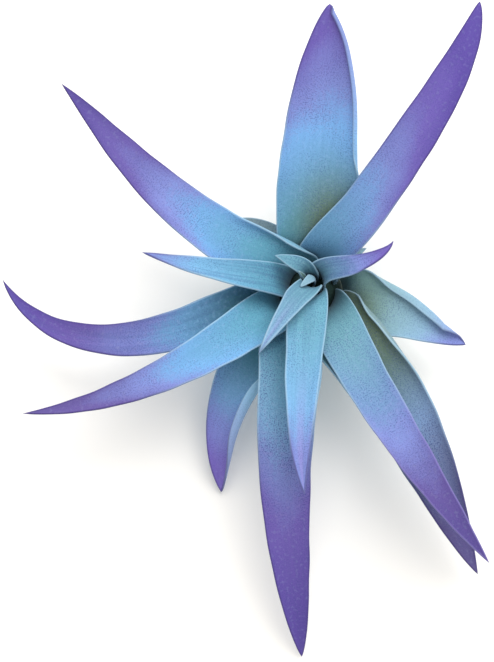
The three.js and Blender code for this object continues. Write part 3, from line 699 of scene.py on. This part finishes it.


# Living bromeliad leaf under a felt of trichome scales: matte and dusty, with a soft pale bloom at grazing
# angles, fine navy specks where skin shows, and colour that drifts from teal through sky blue to violet.
# Painted shade darkens the sheaths and, in part, an olive half near the base; pale margins are partly a
# painted highlight.
def trichomeFelt(name, look, seed):
    material, tree = newMaterial(name)
    felt = {**plainFelt, **look}
    along, across, under, edge = (
        addNode(tree, "Attribute", attribute_name=stored).outputs["Fac"]
        for stored in ("alongLeaf", "acrossLeaf", "underLeaf", "fromEdge"))
    place = addNode(tree, "Attribute", attribute_name="leafPlace").outputs["Vector"]
    reach = addNode(tree, "SeparateXYZ", {0: place}).outputs[1]
    shifted = addNode(tree, "VectorMath", {0: place, 1: (seed, seed * 2, 0)}, operation="ADD").outputs[0]
    drawnOut = (1, feltLook["veinStretch"], 1)
    lengthwise = addNode(tree, "VectorMath", {0: shifted, 1: drawnOut}, operation="MULTIPLY").outputs[0]
    scales, clumps, patches, veins = (
        addNode(tree, "TexNoise", {
            "Vector": where, "Scale": 1 / feltLook[size], "Detail": detail}).outputs[0]
        for where, size, detail in ((shifted, "scaleSize", 3.0), (shifted, "clumpSize", 3.0),
                                    (shifted, "patchSize", 1.0), (lengthwise, "veinSpacing", 2.0)))

    # tone: the share of the length, with its lines slanted, drawn in at the margins, drifting and mottled
    moved = along
    outward = addNode(tree, "Math", {0: across, 1: across}, operation="MULTIPLY").outputs[0]
    for pattern, amount in ((across, -felt["slant"]), (outward, felt["violetEdge"]),
                            (patches, feltLook["patchDrift"]), (clumps, feltLook["clumpDrift"]),
                            (scales, feltLook["scaleDrift"])):
        moved = addNode(tree, "Math", {
            0: pattern, 1: amount, 2: moved}, operation="MULTIPLY_ADD").outputs[0]
    tone = addNode(tree, "Math", {0: moved, 1: feltLook["driftBack"]}, operation="SUBTRACT").outputs[0]
    turn = felt["violetFrom"]
    stops = [
        (0.0, felt["base"]),
        (turn * feltLook["baseTo"], felt["base"]),
        (turn * feltLook["middleAt"], felt["middle"]),
        (turn, felt["periwinkle"]),
        (turn + felt["turnsOver"], felt["violet"]),
        (turn + feltLook["tipAfter"], felt["tip"]),
    ]
    ramp = addNode(tree, "ValToRGB", {0: tone})
    fillRamp(ramp, [(position, linear(colour)) for position, colour in stops if position <= 1])

    # painted shade deep inside the sheaths, fading outward along the leaf
    shade = addNode(tree, "MapRange", {
        0: reach, 1: feltLook["shadeFrom"], 2: feltLook["shadeTo"], 3: feltLook["shadeDepth"], 4: 0.0},
        interpolation_type="SMOOTHSTEP").outputs[0]

    # olive half near the base, partly the leaf's greener skin and partly painted shade
    oliveAlong = addNode(tree, "MapRange", {
        0: along, 1: feltLook["oliveFrom"], 2: feltLook["oliveTo"], 3: felt["olive"], 4: 0.0},
        interpolation_type="SMOOTHSTEP").outputs[0]
    oliveReach = addNode(tree, "Math", {0: across, 1: felt["oliveSide"]}, operation="MULTIPLY").outputs[0]
    oliveAcross = addNode(tree, "MapRange", {
        0: oliveReach, 1: feltLook["oliveNone"], 2: feltLook["oliveFull"]},
        interpolation_type="SMOOTHSTEP").outputs[0]
    olive = addNode(tree, "Math", {0: oliveAlong, 1: oliveAcross}, operation="MULTIPLY").outputs[0]

    distance = addNode(tree, "Math", {0: across}, operation="ABSOLUTE").outputs[0]
    streakAcross = addNode(tree, "MapRange", {
        0: distance, 1: feltLook["streakCore"], 2: feltLook["streakEdge"], 3: felt["streak"], 4: 0.0},
        interpolation_type="SMOOTHSTEP").outputs[0]
    streakAlong = addNode(tree, "MapRange", {
        0: along, 1: feltLook["streakFrom"], 2: feltLook["streakFull"]},
        interpolation_type="SMOOTHSTEP").outputs[0]
    streak = addNode(tree, "Math", {0: streakAcross, 1: streakAlong}, operation="MULTIPLY").outputs[0]

    veinSkin = addNode(tree, "MapRange", {
        0: veins, 1: feltLook["veinFrom"], 2: feltLook["veinFull"], 3: 0.0,
        4: felt["veins"] * feltLook["veinDepth"]},
        interpolation_type="SMOOTHSTEP").outputs[0]

    # specks are thickest in patches and fade into the violet
    speckGrain = addNode(tree, "MapRange", {
        0: scales, 1: feltLook["speckFrom"], 2: feltLook["speckFull"], 3: 0.0,
        4: felt["speckle"] * feltLook["speckDepth"]},
        interpolation_type="SMOOTHSTEP").outputs[0]
    speckPatch = addNode(tree, "MapRange", {
        0: patches, 1: noiseLow, 2: noiseHigh, 3: feltLook["speckThinnest"], 4: feltLook["speckThickest"]},
        interpolation_type="SMOOTHSTEP").outputs[0]
    speckFade = addNode(tree, "MapRange", {
        0: tone, 1: turn, 2: turn + feltLook["speckFadesOver"],
        3: 1.0, 4: feltLook["speckFaded"]}).outputs[0]
    speckArea = addNode(tree, "Math", {0: speckPatch, 1: speckFade}, operation="MULTIPLY").outputs[0]
    specks = addNode(tree, "Math", {0: speckGrain, 1: speckArea}, operation="MULTIPLY").outputs[0]

    dust = addNode(tree, "MapRange", {
        0: clumps, 1: feltLook["dustFrom"], 2: feltLook["dustFull"], 3: 0.0, 4: feltLook["dustDepth"]},
        interpolation_type="SMOOTHSTEP").outputs[0]
    paler = addNode(tree, "Math", {0: under, 1: feltLook["underDepth"]}, operation="MULTIPLY").outputs[0]

    # each marking lies over those before it
    colour = ramp.outputs[0]
    for amount, marking in ((shade, feltLook["shade"]), (olive, feltLook["olive"]),
                            (streak, feltLook["streak"]), (veinSkin, feltLook["skin"]),
                            (specks, feltLook["skin"]), (dust, feltLook["dust"]), (paler, felt["under"])):
        mixed = addNode(tree, "Mix", {0: amount, 6: colour, 7: linear(marking)}, data_type="RGBA")
        colour = mixed.outputs[2]

    # margins: pale toward the base, partly their own paler felt and partly a painted highlight along the
    # edge, and outerRim round the outer part
    rim = addNode(tree, "MapRange", {
        0: edge, 1: feltLook["rimFull"], 2: feltLook["rimWidth"], 3: feltLook["rimDepth"], 4: 0.0},
        interpolation_type="SMOOTHSTEP").outputs[0]
    paleTo = max(turn * feltLook["paleRimTo"], felt["paleRimTo"])
    rimDark = addNode(tree, "MapRange", {
        0: along, 1: paleTo - feltLook["rimTurns"], 2: paleTo + feltLook["rimTurns"]},
        interpolation_type="SMOOTHSTEP").outputs[0]
    rimColour = addNode(tree, "Mix", {
        0: rimDark, 6: linear(feltLook["paleMargin"]), 7: linear(felt["outerRim"])},
        data_type="RGBA").outputs[2]
    rimmed = addNode(tree, "Mix", {0: rim, 6: colour, 7: rimColour}, data_type="RGBA").outputs[2]

    roughness = addNode(tree, "MapRange", {
        0: scales, 1: noiseLow, 2: noiseHigh, 3: feltLook["smoothest"], 4: feltLook["roughest"]}).outputs[0]
    veinBump = addNode(tree, "Bump", {
        "Strength": feltLook["veinStrength"], "Distance": feltLook["veinHeight"] * mm,
        "Height": veins}).outputs[0]
    scaleBump = addNode(tree, "Bump", {
        "Strength": feltLook["scaleStrength"], "Distance": feltLook["scaleHeight"] * mm,
        "Height": scales, "Normal": veinBump}).outputs[0]
    shader = addNode(tree, "BsdfPrincipled", {
        "Base Color": rimmed,
        "Roughness": roughness,
        "IOR": 1.45,  # plant wax
        "Specular IOR Level": 0.3,
        "Sheen Weight": 0.15,
        "Sheen Roughness": 0.45,
        "Sheen Tint": linear(feltLook["bloom"]),
        "Normal": scaleBump,
    })
    addNode(tree, "OutputMaterial", {"Surface": shader.outputs[0]})
    return material


def makeLeaves():
    for number, (node, leaf) in enumerate(leaves.items()):
        draw = random.Random(plantSeed + number)
        patternShift = leafBuild["patternShift"] * (number + 1)
        material = trichomeFelt("trichomeFelt_" + node, leaf["look"], patternShift)
        piece = makeLeaf(node + "_blade", leaf, material, draw)
        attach(piece, "root")
        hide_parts(node)
    print("leaves made:", len(leaves))


makeLeaves()

# The stem: a short cone of dry leaf bases with a dark green crown, partly living tissue and partly painted
# shade
stemLook = {
    "sides": 144,
    "footRings": 11,
    "rings": 48,
    "fibreDepth": 0.28,  # cut into the cone, so that the sheaths stay clear
    "fibresRound": 34,
    "fibreWaves": 3,  # sets of strands, each finer than the one before
    "fibreLean": 2,  # mm of height in which the first set turns by one radian of its wave
    "strandShare": 0.3,  # of the depth, from the strands
    "ringShare": 0.2,  # and from the rings, one to a tier
    "plainFoot": 0.6,  # height over which the relief sets in
    "dark": "#4a3f2b",
    "darkBelow": 0.35,  # of the strands' noise
    "light": "#938360",
    "lightAbove": 0.68,
    # dark green: partly living tissue, partly painted shade where the stem shows in deep gaps
    "crown": "#24403b",
    "crownFrom": 1.4,  # height where the dry fibre gives way to the dark green of living tissue and painted shade
    "crownTo": 4,
    "fibreWidth": 0.6,
    "fibreStretch": 0.15,  # draws the fibres out upward
    "fibreHeight": 0.3,
    "fibreStrength": 0.6,
}


# Dry plant fibre, grown in rings: dull brown strands with paler, frayed ridges, and a dark green crown that
# is partly living tissue, partly painted shade
def dryFibre(look):
    material, tree = newMaterial("dryFibre")
    place = addNode(tree, "TexCoord").outputs["Object"]
    drawnOut = (1, 1, look["fibreStretch"])
    stretched = addNode(tree, "VectorMath", {0: place, 1: drawnOut}, operation="MULTIPLY").outputs[0]
    strands = addNode(tree, "TexNoise", {
        "Vector": stretched, "Scale": 1 / (look["fibreWidth"] * mm), "Detail": 4.0}).outputs[0]
    ramp = addNode(tree, "ValToRGB", {0: strands})
    fillRamp(ramp, [(look["darkBelow"], linear(look["dark"])), (look["lightAbove"], linear(look["light"]))])
    height = addNode(tree, "SeparateXYZ", {0: place}).outputs[2]
    livingGreenAndShade = addNode(tree, "MapRange", {0: height, 1: look["crownFrom"] * mm, 2: look["crownTo"] * mm})
    colour = addNode(tree, "Mix", {0: livingGreenAndShade.outputs[0], 6: ramp.outputs[0], 7: linear(look["crown"])},
                     data_type="RGBA")
    bump = addNode(tree, "Bump", {
        "Strength": look["fibreStrength"], "Distance": look["fibreHeight"] * mm, "Height": strands})
    shader = addNode(tree, "BsdfPrincipled", {
        "Base Color": colour.outputs[2],
        "Roughness": 0.88,
        "IOR": 1.5,  # dry cellulose
        "Normal": bump.outputs[0],
    })
    addNode(tree, "OutputMaterial", {"Surface": shader.outputs[0]})
    return material


def makeStem(look):
    def coneRadius(height):
        inset = leafBuild["sheathThickness"] / 2 + stemTiers["sheathGap"]
        tier = (stemTiers["firstHeight"] - height) / stemTiers["drop"]
        return stemTiers["firstRadius"] + stemTiers["spacing"] * tier - inset

    shoulder, crown = tierHeight(stemTiers["lowest"]), tierHeight(stemTiers["crown"])
    heights = np.concatenate([np.linspace(0, shoulder, look["footRings"], endpoint=False),
                              np.linspace(shoulder, crown, look["rings"])])
    foot = stemTiers["footRadius"] + (coneRadius(shoulder) - stemTiers["footRadius"]) * heights / shoulder
    radii = np.where(heights < shoulder, foot, coneRadius(heights))
    angles = np.linspace(0, 2 * math.pi, look["sides"], endpoint=False)
    draw = random.Random(plantSeed)
    phases = [draw.uniform(0, 2 * math.pi) for _ in range(look["fibreWaves"])]
    waves = [np.sin(look["fibresRound"] * (k + 1) * angles[None, :] + phase
                    + heights[:, None] / (look["fibreLean"] + k)) for k, phase in enumerate(phases)]
    strands = look["strandShare"] * (sum(waves) / len(waves))
    rings = look["ringShare"] * np.sin(2 * math.pi * heights / stemTiers["drop"])[:, None]
    carved = look["strandShare"] + look["ringShare"] - strands - rings
    relief = look["fibreDepth"] * carved * ease(heights / look["plainFoot"])[:, None]
    reach = radii[:, None] - relief
    points = np.stack([reach * np.cos(angles), reach * np.sin(angles),
                       np.broadcast_to(heights[:, None], reach.shape)], 2).reshape(-1, 3)
    points = np.vstack([points, [[0, 0, 0], [0, 0, crown]]]) * mm
    sides, rows = look["sides"], len(heights)
    bottom, top = rows * sides, rows * sides + 1
    faces = []
    for k in range(sides):
        after = (k + 1) % sides
        for row in range(rows - 1):
            here, above = row * sides, (row + 1) * sides
            faces.append((here + k, here + after, above + after, above + k))
        faces.append((bottom, after, k))
        faces.append((top, (rows - 1) * sides + k, (rows - 1) * sides + after))
    mesh = bpy.data.meshes.new("stem_fibre")
    mesh.from_pydata(points.tolist(), [], faces)
    mesh.shade_smooth()
    mesh.materials.append(dryFibre(look))
    piece = addObject("stem_fibre", mesh)
    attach(piece, "root")
    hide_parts("stem")


makeStem(stemLook)
print("stem made")

# The white table, and the light of a bright room
tableLook = {
    "colour": "#fbfaf7",
    "cloud": "#f9f8f5",
    "cloudSize": 60,
    "halfSize": 1500,
}
roomLight = {
    "skyColour": "#fffdfa",
    "skyStrength": 0.83,
    "windowSize": 1000,
    "windowPlace": (260, 620, 900),  # behind the plant and a little to the right
    "windowPower": 12.4,  # watts
    "windowColour": "#fffdfa",
}


# Matte white laminate, pressed smooth: an even white that holds soft shadows
def whiteLaminate(look):
    material, tree = newMaterial("whiteLaminate")
    place = addNode(tree, "TexCoord").outputs["Object"]
    cloudy = addNode(tree, "TexNoise", {"Vector": place, "Scale": 1 / (look["cloudSize"] * mm)}).outputs[0]
    ramp = addNode(tree, "ValToRGB", {0: cloudy})
    fillRamp(ramp, [(noiseLow, linear(look["cloud"])), (noiseHigh, linear(look["colour"]))])
    shader = addNode(tree, "BsdfPrincipled", {"Base Color": ramp.outputs[0], "Roughness": 0.6})
    addNode(tree, "OutputMaterial", {"Surface": shader.outputs[0]})
    return material


def makeTable(look):
    half = look["halfSize"] * mm
    mesh = bpy.data.meshes.new("tableTop")
    corners = [(-half, -half, 0), (half, -half, 0), (half, half, 0), (-half, half, 0)]
    mesh.from_pydata(corners, [], [(0, 1, 2, 3)])
    mesh.materials.append(whiteLaminate(look))
    addObject("tableTop", mesh)


def lightRoom(look):
    world = bpy.data.worlds.new("brightRoom")
    world.use_nodes = True
    sky = world.node_tree.nodes["Background"]
    sky.inputs["Color"].default_value = linear(look["skyColour"])
    sky.inputs["Strength"].default_value = look["skyStrength"]
    bpy.context.scene.world = world
    lamp = bpy.data.lights.new("window", "AREA")
    lamp.size = look["windowSize"] * mm
    lamp.energy = look["windowPower"]
    lamp.color = linear(look["windowColour"])[:3]
    holder = addObject("window", lamp)
    holder.location = Vector(look["windowPlace"]) * mm
    aim = Vector(photoView["target"]) * mm - holder.location
    holder.rotation_euler = aim.to_track_quat("-Z", "Y").to_euler()
    bpy.context.scene.view_settings.view_transform = "Standard"


makeTable(tableLook)
lightRoom(roomLight)
print("table and light made")
